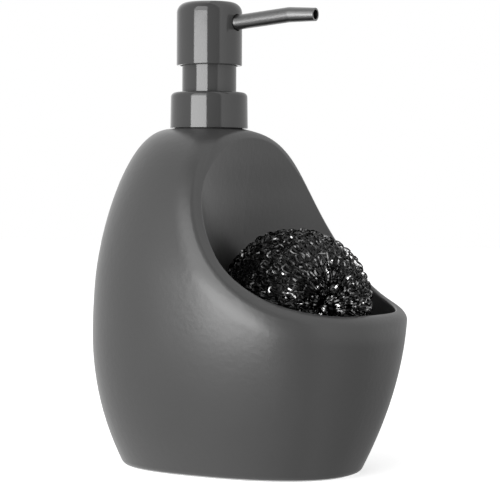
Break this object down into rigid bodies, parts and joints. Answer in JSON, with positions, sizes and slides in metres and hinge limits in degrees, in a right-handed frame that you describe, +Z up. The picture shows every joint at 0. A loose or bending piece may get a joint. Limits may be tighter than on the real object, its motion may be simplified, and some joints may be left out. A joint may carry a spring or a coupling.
{
  "type": "soap pump caddy",
  "caption": "Egg-shaped glazed ceramic soap dispenser with an open pouch in its front that holds a knitted metal scourer, and a screw-in lotion pump with a bent metal spout.",
  "frame": {"origin": "on the surface that the foot ring stands on, under the middle of the body's box", "axes": "+Z up along the pump, -Y towards the pouch and the spout, +X to the right of someone facing the pouch"},
  "size_m": [0.1124, 0.1279, 0.191],
  "materials": {
    "glaze": "satin",
    "pump_gloss": "gloss",
    "inner_plastic": "natural",
    "seal_rubber": "matt",
    "steel": "bright",
    "spout_metal": "gunmetal",
    "scourer_metal": "knitted metal ribbon"
  },
  "bodies": {
    "caddy": {"ceramic_body": "glaze", "neck_insert": "inner_plastic", "neck_seal": "seal_rubber"},
    "pump": {"pump_cylinder": "inner_plastic", "flange_gasket": "seal_rubber", "stem_guide": "inner_plastic", "valve_cage": "inner_plastic", "return_spring": "steel", "dip_tube": "inner_plastic"},
    "collar": {"screw_cap": "inner_plastic", "collar_shell": "pump_gloss", "guide_sleeve": "pump_gloss"},
    "piston": {"piston": "inner_plastic"},
    "head": {"stem": "inner_plastic", "head_core": "inner_plastic", "head_shell": "pump_gloss", "spout": "spout_metal", "spout_seal": "seal_rubber"},
    "inlet_ball": {"inlet_ball": "steel"},
    "outlet_ball": {"outlet_ball": "steel"},
    "scrubber": {"scrubber": "scourer_metal"}
  },
  "joints": [
    {"name": "pump_rise", "type": "slide", "parent": "caddy", "child": "pump", "axis": [0, 0, 1], "range_m": [0, 0.0048]},
    {"name": "collar_turn", "type": "hinge", "parent": "pump", "child": "collar", "pos_m": [0, 0.0195, 0.1475], "axis": [0, 0, 1], "range_deg": [0, 540]},
    {"name": "head_press", "type": "slide", "parent": "pump", "child": "piston", "axis": [0, 0, -1], "range_m": [0, 0.0095], "stiffness_N_per_m": 500, "springref_m": -0.008, "deforming": ["return_spring"]},
    {"name": "head_swivel", "type": "hinge", "parent": "piston", "child": "head", "pos_m": [0, 0.0195, 0.178], "axis": [0, 0, 1], "continuous": true},
    {"name": "inlet_ball_lift", "type": "slide", "parent": "pump", "child": "inlet_ball", "axis": [0, 0, 1], "range_m": [0, 0.0012]},
    {"name": "outlet_ball_lift", "type": "slide", "parent": "head", "child": "outlet_ball", "axis": [0, 0, 1], "range_m": [0, 0.0016]},
    {"name": "scrubber_lift", "type": "slide", "parent": "caddy", "child": "scrubber", "axis": [0, -0.4226, 0.9063], "range_m": [0, 0.09]}
  ],
  "couplings": [
    {"joint": "pump_rise", "follows": "collar_turn", "m_per_rad": 0.00050532}
  ]
}
